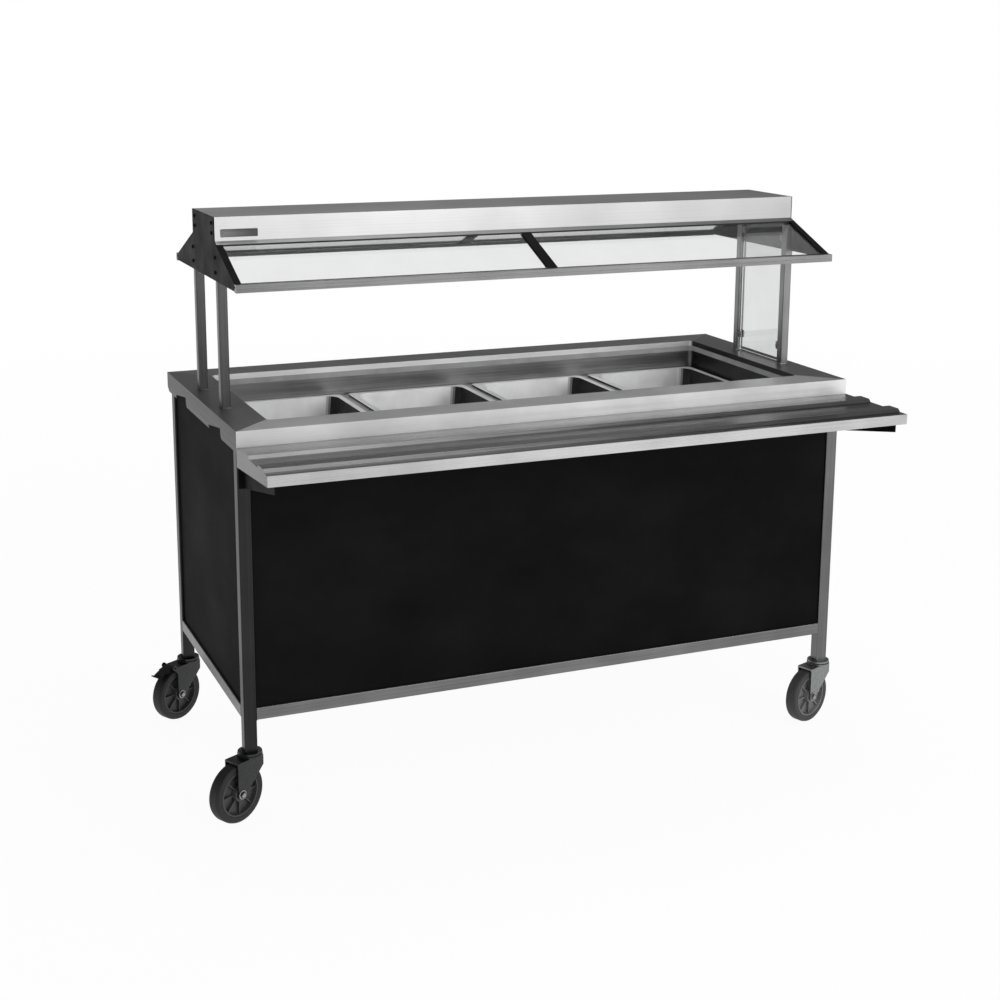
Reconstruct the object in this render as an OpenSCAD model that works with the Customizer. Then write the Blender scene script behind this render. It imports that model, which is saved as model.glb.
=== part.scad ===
// Cold food serving counter on casters: an insulated ice well with four lift-out
// pans, a tray slide along the front, and an overshelf with a glass guard.
// Millimetres. +X is the right end seen from the customer's side, -Y the customer's side.
// The origin is on the floor, below the middle of the whole counter's box.

/* [Counter top] */
// Width of the counter top's border at each end of the well
end_border = 93; // [88:1:158]
// Width of the counter top's border in front of the well and behind it
side_border = 86; // [82:1:110]
// Height of the counter top above the floor
counter_height = 914; // [860:2:960]
// Height of the whole turned-down edge
apron_height = 50; // [46:1:56]
// Height of the upright part of that edge, above its slanted hem
apron_face = 37; // [30:1:42]
// How far the slanted hem turns in, front and back
hem_turn = 7; // [4:0.5:12]
// How far the hem turns in at the counter's two ends
end_hem_turn = 2; // [1:0.5:2.5]
// Thickness of the stainless sheet of the top and the well
sheet = 2; // [1.5:0.1:2.5]
// Width of each wedge-shaped notch for joining counters, in the end edges
notch_width = 120; // [80:5:130]
// Height of a notch at its tall end
notch_height = 26; // [18:1:30]
// Distance of each notch's tall end from the middle of the counter's depth
notch_places = [-210, 144];

/* [Cold well] */
// Length of a food pan over its rim, front to back
pan_length = 530; // [520:1:534]
// Width of a food pan over its rim
pan_width = 325; // [318:1:332]
// Depth of a food pan
pan_depth = 100; // [65:5:120]
// Width of a pan's flat rim
pan_rim = 14; // [12.5:0.5:16]
// Thickness of the pans' sheet
pan_sheet = 1.2; // [0.8:0.1:1.6]
// Gap between the rims of neighbouring pans, over an adapter bar
pan_spacing = 21; // [15:1:23]
// Gap between a pan's rim and the well's wall, front and back
pan_side_gap = 5; // [4:0.5:6]
// How far the pans' shelf lies below the counter top
recess_depth = 76; // [60:1:90]
// Depth of the whole well below the counter top
well_depth = 250; // [226:2:270]
// Width of the shelf that carries the pans
ledge_width = 16; // [15:0.5:17]
// Thickness of the foam around the well
insulation_thickness = 30; // [20:1:32]
// Width of an adapter bar between two pans
bar_width = 38; // [30:1:42]
// Height of the false bottom above the well's floor
false_bottom_height = 24; // [16:1:34]
// Radius of the well's upright corners
well_corner = 12; // [6:1:20]
// Distance of the drain's axis from the well's right end
drain_border = 122; // [102:2:212]

/* [Frame] */
// Outer width of the square leg and rail tube
leg_width = 30; // [26:1:32]
// Wall thickness of the frame tubes
tube_wall = 2; // [1.5:0.1:3]
// Distance from the top's end to the leg's outer face
leg_inset_x = 5; // [5:1:12]
// Distance from the top's front or back edge to the leg's outer face
leg_inset_y = 20; // [18:1:28]
// Height of the bottom rails' lower face above the floor
rail_bottom = 233; // [200:1:260]
// Depth of the hidden rails below the top, sideways
top_rail_width = 20; // [14:1:20]
// Thickness of the laminated body panels
panel_thickness = 16; // [12:1:18]
// How far the panels sit back from the legs' outer faces
panel_setback = 6; // [4:0.5:6]

/* [Casters] */
// Outer diameter of the wheels
wheel_diameter = 140; // [120:1:141]
// Width of the wheels' tread
tread_width = 32; // [26:1:34]
// How far the wheels trail behind their swivel axis
wheel_trail = 45; // [40:1:48]
// How far each caster is turned at rest: front left, front right, back left, back right
caster_turns = [28, 20, 30, 24];
// Height of the legs' lower ends above the floor
caster_height = 157; // [156:1:170]
// Diameter of the kingpin that the fork swivels on
kingpin_diameter = 12; // [10:0.5:14]
// Diameter of the wheels' axle bolts
axle_diameter = 10; // [8:0.5:12]
// Thickness of the fork's side plates
fork_plate = 3; // [2.5:0.5:4]

/* [Overshelf and guard] */
// Width of the overshelf, front to back
canopy_width = 216; // [180:2:260]
// Height of the overshelf's faces
canopy_height = 56; // [44:1:70]
// Height of the overshelf's top above the counter top
canopy_rise = 439; // [400:2:480]
// Distance from the counter's end to the end panel's outer face
end_inset = 23; // [8:1:30]
// Distance from the counter's long edges in to the guard rails
guard_inset = 54; // [40:2:80]
// Height of the end panels' straight lower edge above the counter top
guard_rise = 295; // [260:2:310]
// Height of the guard rails
guard_rail_height = 18; // [17:0.5:22]
// Width of the guard rails, front to back
guard_rail_width = 16; // [14:1:20]
// Thickness of the glass
glass = 6; // [4:0.5:6]
// Outer width of the square posts
post_width = 22; // [18:1:25]
// How far the posts' centre lines stand out past the overshelf's faces
post_out = 4; // [0:1:6]
// Width of the strip over the joint between two panes
divider_width = 25; // [18:1:32]

/* [Tray slide] */
// How far the tray slide reaches out from the counter top
slide_depth = 257; // [230:1:300]
// How far its surface lies below the counter top
slide_drop = 37; // [30:1:44]
// Height of its front face
slide_face = 24; // [20:1:30]
// Height of its end plates at the rear
slide_end_height = 42; // [30:1:50]
// Rise of its two raised ribs
rib_rise = 7; // [3:0.5:9]
// Width of a rib at its foot
rib_width = 50; // [36:1:60]
// Distance between the ribs' middles
rib_pitch = 120; // [90:1:130]
// Height of the brackets where they meet the legs
bracket_root = 76; // [60:1:90]
// Height of the brackets at their tips
bracket_tip = 44; // [34:1:50]

/* [Hidden] */
// Clearances
rest_gap = 0.2;      // under a piece that lifts off
side_gap = 0.3;      // beside a piece that is slid in
running_gap = 0.05;  // radial, around a pin that turns
$fn = 48;

// Places along the height
top_under = counter_height - sheet;
ledge_z = counter_height - recess_depth;
liner_floor = counter_height - well_depth;
leg_bottom = caster_height;
rail_top = rail_bottom + leg_width;
canopy_top = counter_height + canopy_rise;
canopy_bottom = canopy_top - canopy_height;
guard_bottom = counter_height + guard_rise;
slide_top = counter_height - slide_drop;

// Places in plan, from the counter top's middle
pan_count = 4;
pan_pitch = pan_width + pan_spacing;
well_l = pan_count * pan_pitch;
drain_x = well_l / 2 - drain_border;
well_w = pan_length + 2 * pan_side_gap;
counter_length = well_l + 2 * end_border;
counter_depth = well_w + 2 * side_border;
half_l = counter_length / 2;
half_d = counter_depth / 2;
leg_x = half_l - leg_inset_x - leg_width / 2;
leg_y = half_d - leg_inset_y - leg_width / 2;
rail_gap_x = 2 * leg_x - leg_width;
rail_gap_y = 2 * leg_y - leg_width;
panel_x = half_l - leg_inset_x - panel_setback;
panel_y = half_d - leg_inset_y - panel_setback;
top_rail_height = leg_width;
panel_top = top_under - top_rail_height;

// Cold well
flange_turn = 14;      // the top's turned-down edge around the well
breaker_height = 14;   // the part of the thermal break that shows
breaker_width = 20;
breaker_bottom = counter_height - flange_turn - breaker_height;
ledge_thickness = 4;
mitre_past = 0.3;       // how far a mitre's cut runs on past both corners
mitre_gap = 0.15;       // each mitred length stands this far out from its joint
board_gap = 0.5;        // between two foam boards, or the false bottom and its bars
bar_sheet = 2;
bar_skirt = 10;
lower_l = well_l - 2 * ledge_width;
lower_w = well_w - 2 * ledge_width;
casing_sheet = 1.5;
casing_lip = 5;
foam_l = well_l + 2 * sheet + 2 * insulation_thickness;
foam_w = well_w + 2 * sheet + 2 * insulation_thickness;
foam_bottom = liner_floor - insulation_thickness;
false_sheet = 1.5;
false_hole = 14;
false_columns = 15;
false_rows = 5;

// Food pans
pan_lip = 3;           // height of the rim's turned-down edge
pan_taper = 11;        // how much each side leans in
pan_mouth_corner = 32;
pan_floor_corner = 30;
pan_floor_ease = 12;   // rounding of the floor's edge
pan_rim_corner = 16;
pan_top = ledge_z + rest_gap + pan_lip;

// Drain
tail_radius = 16;
tail_bore = 13;
drain_flange = 30;
nut_height = 8;
valve_z = foam_bottom - 62;
valve_radius = 24;
valve_half = 30;
socket_depth = 14;
outlet_depth = 12;
ball_radius = 17;
ball_bore = 12;
stem_radius = 5;
handle_length = 92;
handle_width = 14;
handle_sheet = 3;

// Bottom shelf
shelf_sheet = 1.5;
shelf_lip = 15;
stiffener_width = 60;
stiffener_height = 20;
stiffener_places = [-250, 250];

// Casters
cup_radius = 28;
cup_height = 5;
crown_radius = 29;
crown_height = 4.7;
crown_chamfer = 2;
bridge_height = 4;
race_gap = 0.3;
crown_top = leg_bottom - cup_height - race_gap;
crown_bottom = crown_top - crown_height;
bridge_bottom = crown_bottom - bridge_height;
wheel_radius = wheel_diameter / 2;
fork_inner = tread_width / 2 + 3;
fork_outer = fork_inner + fork_plate;
fork_eye = 12;
eye_step = 0.8;        // how far the eye stands proud of the side plate's edges
fork_back = -wheel_trail - fork_eye + eye_step;
fork_front = 21;
fork_shoulder = 24;
axle_head = 4;
stem_height = 35;
nut_gap = 0.3;
kingnut_height = 5.5;
kingnut_radius = 9.5;
tyre_depth = 17;
rim_radius = wheel_radius - tyre_depth;
tyre_outline = [[rim_radius + running_gap, tread_width / 2 - 1],
    [rim_radius + 3, tread_width / 2], [wheel_radius - 5, tread_width / 2],
    [wheel_radius - 1.5, tread_width / 2 - 2.5], [wheel_radius, tread_width / 2 - 7]];
pedal_pivot = [-wheel_trail - fork_eye - 9, crown_bottom];
pedal_pin = 2.5;
pedal_barrel = 4.5;
pedal_ear = 6.5;
pedal_half = 14;
pedal_reach = wheel_trail + wheel_radius + 1;

// The whole box reaches past the left end by the back wheel and its pedal or by the
// front wheel, past the right end by a fork's crown, and past the front by the slide
function tyre_reach(turn) = wheel_trail * cos(turn)
    + max([for (p = tyre_outline) p[0] * cos(turn) + p[1] * sin(turn)]);
function pedal_tip_reach(turn) = pedal_reach * cos(turn) + pedal_half * sin(turn);
left_reach = leg_x + max(tyre_reach(caster_turns[0]), tyre_reach(caster_turns[2]),
    pedal_tip_reach(caster_turns[2]));
right_reach = max(half_l, leg_x + crown_radius);
mid_x = (left_reach - right_reach) / 2;
mid_y = slide_depth / 2;

// Guard: the slope runs from the overshelf's lower corner to the guard rail
rail_in_y = half_d - guard_inset - guard_rail_width;
rail_top_z = guard_bottom - 2 + guard_rail_height;
slope_angle = atan2(canopy_bottom - rail_top_z, rail_in_y - canopy_width / 2);
slope_length = (rail_in_y - canopy_width / 2) / cos(slope_angle);
panel_sheet = 2;
canopy_sheet = 1.5;
canopy_lip = 14;
end_flange = 14;
end_inner = half_l - end_inset - panel_sheet;
glass_drop = panel_sheet + side_gap;
glass_start = 4;
glass_entry = 8;
post_x = end_inner - post_width / 2;
post_y = canopy_width / 2 + post_out;
post_top = canopy_bottom - 20;   // the posts end below the glass, fixed to the end panels
post_wall = 2;
clip_size = [14, 12, 20];
clip_back = 2;
clip_heights = [46, canopy_rise - canopy_height - 54];

// Tray slide
slide_sheet = 1.8;
slide_gap = 2;
slide_return = 12;
rib_first = 83;
rib_crest = rib_width - 2 * rib_rise;
bracket_sheet = 3;
bracket_reach = slide_depth - 17;
bracket_half = leg_width / 2 - 3;

// Shared shapes

module at_counter() {
    translate([mid_x, mid_y, 0]) children();
}

module rounded_rect(w, d, r) {
    square([w - 2 * r, d], center = true);
    square([w, d - 2 * r], center = true);
    for (sx = [-1, 1])
        for (sy = [-1, 1])
            translate([sx * (w / 2 - r), sy * (d / 2 - r)]) circle(r);
}

// A block with rounded upright edges, between two heights
module block(w, d, r, z0, z1) {
    translate([0, 0, z0]) linear_extrude(z1 - z0) rounded_rect(w, d, r);
}

module tube_section(w, d, wall) {
    difference() {
        rounded_rect(w, d, wall + 1);
        rounded_rect(w - 2 * wall, d - 2 * wall, 1);
    }
}

// Extrudes an outline drawn in Y and Z along X
module along_x(x0, x1) {
    translate([x0, 0, 0]) rotate([90, 0, 90]) linear_extrude(x1 - x0) children();
}

// Extrudes an outline drawn in X and Z along Y
module along_y(y0, y1) {
    translate([0, y1, 0]) rotate([90, 0, 0]) linear_extrude(y1 - y0) children();
}

// Frame

module leg(side_x, side_y) {
    color("#8a8c8e") at_counter() translate([side_x * leg_x, side_y * leg_y, leg_bottom])
        linear_extrude(top_under - leg_bottom) tube_section(leg_width, leg_width, tube_wall);
}

module long_rail(side_y) {
    color("#9a9c9e") at_counter() along_x(-rail_gap_x / 2, rail_gap_x / 2)
        translate([side_y * leg_y, rail_bottom + leg_width / 2])
            tube_section(leg_width, leg_width, tube_wall);
}

module end_rail(side_x) {
    color("#808284") at_counter() along_y(-rail_gap_y / 2, rail_gap_y / 2)
        translate([side_x * leg_x, rail_bottom + leg_width / 2])
            tube_section(leg_width, leg_width, tube_wall);
}

module top_frame() {
    rail_z = top_under - top_rail_height / 2;
    out_x = leg_x + leg_width / 2 - top_rail_width / 2;
    out_y = leg_y + leg_width / 2 - top_rail_width / 2;
    color("#8a8c8e") at_counter() {
        for (side = [-1, 1]) {
            along_x(-rail_gap_x / 2, rail_gap_x / 2) translate([side * out_y, rail_z])
                tube_section(top_rail_width, top_rail_height, tube_wall);
            along_y(-rail_gap_y / 2, rail_gap_y / 2) translate([side * out_x, rail_z])
                tube_section(top_rail_width, top_rail_height, tube_wall);
        }
    }
}

// Body panels

module front_panel() {
    color("#1c1c1e") at_counter()
        translate([-rail_gap_x / 2, -panel_y, rail_top])
            cube([rail_gap_x, panel_thickness, panel_top - rail_top]);
}

module side_panel(side_x) {
    color("#1c1c1e") at_counter()
        translate([side_x * (panel_x - panel_thickness / 2), 0, (rail_top + panel_top) / 2])
            cube([panel_thickness, rail_gap_y, panel_top - rail_top], center = true);
}

module bottom_shelf() {
    edge_x = panel_x - panel_thickness - side_gap;
    front_y = -panel_y + panel_thickness + side_gap;
    back_y = leg_y + leg_width / 2;
    color("#a0a2a4") at_counter() {
        difference() {
            union() {
                translate([-edge_x, front_y, rail_top])
                    cube([2 * edge_x, back_y - front_y + shelf_sheet, shelf_sheet]);
                translate([-rail_gap_x / 2, back_y, rail_top - shelf_lip])
                    cube([rail_gap_x, shelf_sheet, shelf_lip]);
            }
            for (side_x = [-1, 1])
                for (side_y = [-1, 1])
                    translate([side_x * leg_x, side_y * leg_y, rail_top])
                        cube([leg_width + 2 * side_gap, leg_width + 4 * shelf_sheet,
                            4 * shelf_sheet], center = true);
        }
        for (x = stiffener_places)
            along_y(-rail_gap_y / 2 + side_gap, rail_gap_y / 2 - side_gap)
                translate([x, rail_top - stiffener_height / 2])
                    difference() {
                        square([stiffener_width, stiffener_height], center = true);
                        translate([0, shelf_sheet])
                            square([stiffener_width - 2 * shelf_sheet, stiffener_height],
                                center = true);
                    }
    }
}

// Counter top: a folded sheet with a slanted hem all round and a turned-down well edge

module edge_outline(w, z, face, total, turn) {
    polygon([[-w / 2, z], [w / 2, z], [w / 2, z - face], [w / 2 - turn, z - total],
        [-w / 2 + turn, z - total], [-w / 2, z - face]]);
}

module edge_block(l, d, z, face, total, turn, end_turn) {
    intersection() {
        along_x(-l / 2, l / 2) edge_outline(d, z, face, total, turn);
        along_y(-d / 2, d / 2) edge_outline(l, z, face, total, end_turn);
    }
}

module end_notch(place) {
    along_x(-half_l - 1, half_l + 1)
        polygon([[place, counter_height - apron_height - 1],
            [place, counter_height - apron_height + notch_height],
            [place + notch_width, counter_height - apron_height + notch_height / 3],
            [place + notch_width, counter_height - apron_height - 1]]);
}

// One side's share of a frame round the well, mitred at its corners: front, right, back, left
module mitre_share(side, out_x, out_y, in_x, in_y) {
    dx = mitre_past * (out_x - in_x);
    dy = mitre_past * (out_y - in_y);
    out = [out_x + dx, out_y + dy];
    in = [in_x - dx, in_y - dy];
    shares = [
        [[-out[0], -out[1]], [out[0], -out[1]], [in[0], -in[1]], [-in[0], -in[1]]],
        [[out[0], -out[1]], out, in, [in[0], -in[1]]],
        [out, [-out[0], out[1]], [-in[0], in[1]], in],
        [[-out[0], out[1]], [-out[0], -out[1]], [-in[0], -in[1]], [-in[0], in[1]]]
    ];
    ways = [[0, -1], [1, 0], [0, 1], [-1, 0]];
    translate([mitre_gap * ways[side][0], mitre_gap * ways[side][1], 0])
        linear_extrude(2 * counter_height) polygon(shares[side]);
}

module counter_top_sheet() {
    past = 1;
    hem = apron_height - apron_face;
    union() {
        difference() {
            edge_block(counter_length, counter_depth, counter_height, apron_face,
                apron_height, hem_turn, end_hem_turn);
            edge_block(counter_length - 2 * sheet, counter_depth - 2 * sheet, top_under,
                apron_face - sheet, apron_height - sheet + past,
                hem_turn * (hem + past) / hem, end_hem_turn * (hem + past) / hem);
            block(well_l, well_w, well_corner, top_under - past, counter_height + past);
            for (place = notch_places)
                end_notch(place);
        }
        difference() {
            block(well_l + 2 * sheet, well_w + 2 * sheet, well_corner + sheet,
                counter_height - flange_turn, top_under);
            block(well_l, well_w, well_corner, counter_height - flange_turn - past,
                top_under + past);
        }
    }
}

module counter_top() {
    color("#c8cacc") at_counter()
        for (side = [0 : 3])
            intersection() {
                counter_top_sheet();
                mitre_share(side, half_l, half_d, well_l / 2, well_w / 2);
            }
}

// Cold well, from the inside out

module breaker_strip() {
    outer_l = well_l + 2 * breaker_width;
    outer_w = well_w + 2 * breaker_width;
    neck = counter_height - flange_turn;
    color("#5a5c60") at_counter()
        for (side = [0 : 3])
            intersection() {
                difference() {
                    block(outer_l, outer_w, well_corner + breaker_width, breaker_bottom, top_under);
                    block(well_l, well_w, well_corner, breaker_bottom - 1, neck + 1);
                    block(well_l + 2 * (sheet + side_gap), well_w + 2 * (sheet + side_gap),
                        well_corner + sheet + side_gap, neck, top_under + 1);
                }
                mitre_share(side, outer_l / 2, outer_w / 2, well_l / 2, well_w / 2);
            }
}

module bar_pocket(x, side_y) {
    inner = lower_w / 2 - 1;
    outer = pan_length / 2 + 1;
    translate([x - bar_width / 2 - side_gap, side_y > 0 ? inner : -outer, ledge_z - bar_sheet])
        cube([bar_width + 2 * side_gap, outer - inner, bar_sheet + 1]);
}

module well_liner() {
    color("#b4b6b8") at_counter()
        difference() {
            union() {
                block(well_l + 2 * breaker_width, well_w + 2 * breaker_width,
                    well_corner + breaker_width, breaker_bottom - sheet, breaker_bottom);
                block(well_l + 2 * sheet, well_w + 2 * sheet, well_corner + sheet,
                    ledge_z - ledge_thickness, breaker_bottom);
                block(lower_l + 2 * sheet, lower_w + 2 * sheet, well_corner + sheet,
                    liner_floor, ledge_z);
            }
            block(well_l, well_w, well_corner, ledge_z, breaker_bottom + 1);
            block(lower_l, lower_w, well_corner, liner_floor + sheet, ledge_z + 1);
            for (x = bar_places)
                for (side_y = [-1, 1])
                    bar_pocket(x, side_y);
            translate([drain_x, 0, liner_floor - 1])
                cylinder(r = tail_radius + side_gap, h = sheet + 2);
        }
}

// Four boards that stand round a hollow, the long ones past the ends of the short ones
module board_ring(l, w, z0, z1) {
    high = z1 - z0 - board_gap;
    for (side = [-1, 1]) {
        translate([-foam_l / 2, side > 0 ? w / 2 : -foam_w / 2, z0 + board_gap])
            cube([foam_l, (foam_w - w) / 2, high]);
        translate([side > 0 ? l / 2 : -foam_l / 2, -w / 2 + board_gap, z0 + board_gap])
            cube([(foam_l - l) / 2, w - 2 * board_gap, high]);
    }
}

module well_insulation() {
    clear = 2 * (sheet + side_gap);
    ledge_under = ledge_z - ledge_thickness;
    color("#e8dcb0") at_counter() {
        difference() {
            translate([-foam_l / 2, -foam_w / 2, foam_bottom])
                cube([foam_l, foam_w, insulation_thickness]);
            translate([drain_x, 0, foam_bottom - 1])
                cylinder(r = tail_radius + side_gap, h = insulation_thickness + 2);
        }
        board_ring(lower_l + clear, lower_w + clear, liner_floor, ledge_under);
        board_ring(well_l + clear, well_w + clear, ledge_under, breaker_bottom - sheet);
    }
}

module well_casing() {
    out_l = foam_l + 2 * casing_sheet;
    out_w = foam_w + 2 * casing_sheet;
    color("#8e9092") at_counter()
        difference() {
            union() {
                translate([-out_l / 2, -out_w / 2, foam_bottom - casing_sheet])
                    cube([out_l, out_w, top_under - foam_bottom + casing_sheet]);
                translate([-out_l / 2 - casing_lip, -out_w / 2 - casing_lip,
                        top_under - casing_sheet])
                    cube([out_l + 2 * casing_lip, out_w + 2 * casing_lip, casing_sheet]);
            }
            translate([-foam_l / 2, -foam_w / 2, foam_bottom])
                cube([foam_l, foam_w, well_depth + insulation_thickness]);
            translate([drain_x, 0, foam_bottom - casing_sheet - 1])
                cylinder(r = tail_radius + side_gap, h = casing_sheet + 2);
        }
}

module false_bottom() {
    margin = 4;
    l = lower_l - 2 * margin;
    w = lower_w - 2 * margin;
    floor_z = liner_floor + sheet;
    top_z = floor_z + false_bottom_height;
    leg_z = false_bottom_height - false_sheet;
    leg_height = leg_z - board_gap;
    color("#a8aaac") at_counter() {
        difference() {
            block(l, w, well_corner, floor_z + leg_z, top_z);
            for (i = [1 : false_columns])
                for (j = [1 : false_rows])
                    translate([l * (i / (false_columns + 1) - 0.5),
                            w * (j / (false_rows + 1) - 0.5), top_z - 2 * false_sheet])
                        cylinder(d = false_hole, h = 4 * false_sheet);
        }
        for (side = [0, 1]) {
            translate([-l / 2 + well_corner, -w / 2 + side * (w - false_sheet), floor_z])
                cube([l - 2 * well_corner, false_sheet, leg_height]);
            translate([-l / 2 + side * (l - false_sheet), -w / 2 + well_corner, floor_z])
                cube([false_sheet, w - 2 * well_corner, leg_height]);
        }
    }
}

// Adapter bars: inverted channels whose ends drop into pockets in the well's shelf
bar_places = [for (i = [1 : pan_count - 1]) (i - pan_count / 2) * pan_pitch];

module adapter_bars() {
    bar_half = pan_length / 2;
    skirt_half = lower_w / 2 - 2;
    color("#c0c2c4") at_counter()
        for (x = bar_places) {
            translate([x - bar_width / 2, -bar_half, ledge_z - bar_sheet])
                cube([bar_width, 2 * bar_half, bar_sheet]);
            for (side = [0, 1])
                translate([x - bar_width / 2 + side * (bar_width - bar_sheet), -skirt_half,
                        ledge_z - bar_sheet - bar_skirt])
                    cube([bar_sheet, 2 * skirt_half, bar_skirt]);
        }
}

// Food pans

module corner_discs(l, w, r, z) {
    for (sx = [-1, 1])
        for (sy = [-1, 1])
            translate([sx * (w / 2 - r), sy * (l / 2 - r), z])
                cylinder(r = r, h = 0.2, $fn = 32);
}

// The tapered bowl of a pan; shrink takes its wall off for the inside
module pan_bowl(shrink, z_top) {
    mouth_l = pan_length - 2 * pan_rim - 2 * shrink;
    mouth_w = pan_width - 2 * pan_rim - 2 * shrink;
    floor_l = mouth_l - 2 * pan_taper;
    floor_w = mouth_w - 2 * pan_taper;
    floor_z = -pan_depth + shrink;
    hull() {
        corner_discs(mouth_l, mouth_w, pan_mouth_corner - shrink, z_top);
        corner_discs(floor_l, floor_w, pan_floor_corner - shrink, floor_z + pan_floor_ease);
        corner_discs(floor_l - 2 * pan_floor_ease, floor_w - 2 * pan_floor_ease,
            pan_floor_corner - shrink - pan_floor_ease, floor_z);
    }
}

module pan(index) {
    color("#d2d4d6") at_counter()
        translate([(index - (pan_count + 1) / 2) * pan_pitch, 0, pan_top])
            difference() {
                union() {
                    block(pan_width, pan_length, pan_rim_corner, -pan_lip, 0);
                    pan_bowl(0, -pan_sheet);
                }
                difference() {
                    block(pan_width - 2 * pan_sheet, pan_length - 2 * pan_sheet,
                        pan_rim_corner - pan_sheet, -pan_lip - 1, -pan_sheet);
                    pan_bowl(0, -pan_sheet);
                }
                pan_bowl(pan_sheet, 0);
            }
}

// Drain with a quarter-turn ball valve

module drain_outlet() {
    color("#b4b6b8") at_counter() translate([drain_x, 0, 0]) {
        difference() {
            union() {
                translate([0, 0, liner_floor + sheet]) cylinder(r = drain_flange, h = 3);
                translate([0, 0, valve_z + valve_half - socket_depth + 1])
                    cylinder(r = tail_radius,
                        h = liner_floor + sheet - valve_z - valve_half + socket_depth - 1);
            }
            translate([0, 0, valve_z]) cylinder(r = tail_bore, h = well_depth);
        }
        difference() {
            translate([0, 0, foam_bottom - casing_sheet - nut_height])
                cylinder(r = tail_radius + 10, h = nut_height, $fn = 6);
            translate([0, 0, foam_bottom - casing_sheet - nut_height - 1])
                cylinder(r = tail_radius + running_gap, h = nut_height + 2);
        }
    }
}

module drain_valve_body() {
    color("#b08d4a") at_counter() translate([drain_x, 0, valve_z])
        difference() {
            union() {
                translate([0, 0, -valve_half + 8])
                    cylinder(r = valve_radius, h = 2 * valve_half - 16);
                for (z = [-valve_half, valve_half - 12])
                    translate([0, 0, z]) cylinder(r = valve_radius - 1, h = 12, $fn = 6);
                rotate([-90, 0, 0]) cylinder(r = stem_radius + 4, h = valve_radius + 5);
            }
            translate([0, 0, valve_half - socket_depth])
                cylinder(r = tail_radius + running_gap, h = socket_depth + 1);
            translate([0, 0, -valve_half + 1]) cylinder(r = ball_bore, h = 2 * valve_half - 2);
            translate([0, 0, -valve_half - 1]) cylinder(r = tail_bore, h = outlet_depth + 1);
            sphere(r = ball_radius + side_gap, $fn = 64);
            rotate([-90, 0, 0]) cylinder(r = stem_radius + running_gap, h = 2 * valve_radius);
        }
}

module drain_valve_handle() {
    lever_y = valve_radius + 5 + side_gap;
    color("#30343a") at_counter() translate([drain_x, 0, valve_z]) {
        difference() {
            rotate([-90, 0, 0]) rotate_extrude($fn = 64) {
                intersection() {
                    circle(r = ball_radius);
                    translate([0, -ball_radius]) square([ball_radius, 2 * ball_radius]);
                }
                square([stem_radius, lever_y + handle_sheet]);
            }
            rotate([0, 90, 0]) cylinder(r = ball_bore, h = 3 * ball_radius, center = true);
        }
        along_y(lever_y, lever_y + handle_sheet) {
            circle(r = handle_width / 2 + 3);
            translate([0, -handle_width / 2]) square([handle_length, handle_width]);
            translate([handle_length, 0]) circle(r = handle_width / 2);
        }
    }
}

// Overshelf and guard

// A point beside the slope: along it, and square to it
function on_slope(along, off) = [
    canopy_width / 2 + along * cos(slope_angle) + off * sin(slope_angle),
    canopy_bottom - along * sin(slope_angle) + off * cos(slope_angle)];

module slope_strip(from, to, low, high) {
    polygon([on_slope(from, low), on_slope(to, low), on_slope(to, high), on_slope(from, high)]);
}

module on_side(side_y) {
    if (side_y > 0)
        children();
    else
        mirror([0, 1, 0]) children();
}

module post(side_x, side_y) {
    color("#8a8c8e") at_counter() translate([side_x * post_x, side_y * post_y, counter_height])
        linear_extrude(post_top - counter_height)
            tube_section(post_width, post_width, post_wall);
}

module canopy() {
    half_w = canopy_width / 2;
    color("#c8cacc") at_counter() {
        along_x(-end_inner, end_inner)
            difference() {
                translate([0, (canopy_bottom + canopy_top) / 2])
                    square([canopy_width, canopy_height], center = true);
                translate([0, (canopy_bottom + canopy_top) / 2])
                    square([canopy_width - 2 * canopy_sheet, canopy_height - 2 * canopy_sheet],
                        center = true);
            }
        for (side_y = [-1, 1])
            on_side(side_y) along_x(-end_inner, end_inner)
                polygon([[half_w - canopy_sheet, canopy_bottom],
                    [half_w - canopy_sheet, canopy_bottom + canopy_sheet],
                    [half_w, canopy_bottom + canopy_sheet],
                    on_slope(canopy_lip, 0), on_slope(canopy_lip, -canopy_sheet)]);
    }
}

module end_outline() {
    polygon([[-canopy_width / 2, canopy_top], [canopy_width / 2, canopy_top],
        [canopy_width / 2, canopy_bottom], [rail_in_y, rail_top_z],
        [rail_in_y, guard_bottom], [-rail_in_y, guard_bottom],
        [-rail_in_y, rail_top_z], [-canopy_width / 2, canopy_bottom]]);
}

module end_panel(side_x) {
    outer = half_l - end_inset;
    color("#1a1a1c") at_counter() {
        along_x(side_x > 0 ? end_inner : -outer, side_x > 0 ? outer : -end_inner)
            end_outline();
        for (side_y = [-1, 1])
            on_side(side_y)
                along_x(side_x > 0 ? end_inner - end_flange : -end_inner,
                        side_x > 0 ? end_inner : -end_inner + end_flange)
                    slope_strip(canopy_lip + 0.5, slope_length - 1, -panel_sheet, 0);
    }
}

module glass_pane(side_x, side_y) {
    inner = 2 + side_gap;
    outer = end_inner - side_gap;
    color([0.8, 0.88, 0.9, 0.35]) at_counter() on_side(side_y)
        along_x(side_x > 0 ? inner : -outer, side_x > 0 ? outer : -inner)
            slope_strip(glass_start, slope_length + glass_entry, -glass_drop - glass, -glass_drop);
}

module guard_dividers() {
    first = canopy_lip + 1;
    last = slope_length - 1;
    low = -glass_drop - glass - side_gap;
    high = -glass_drop + side_gap;
    color("#1a1a1c") at_counter()
        for (side_y = [-1, 1])
            on_side(side_y) {
                along_x(-divider_width / 2, divider_width / 2)
                    slope_strip(first, last, high, high + panel_sheet);
                along_x(-2, 2) slope_strip(first, last, low, high);
                along_x(-divider_width / 2, divider_width / 2)
                    slope_strip(first, last, low - panel_sheet, low);
            }
}

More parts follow.
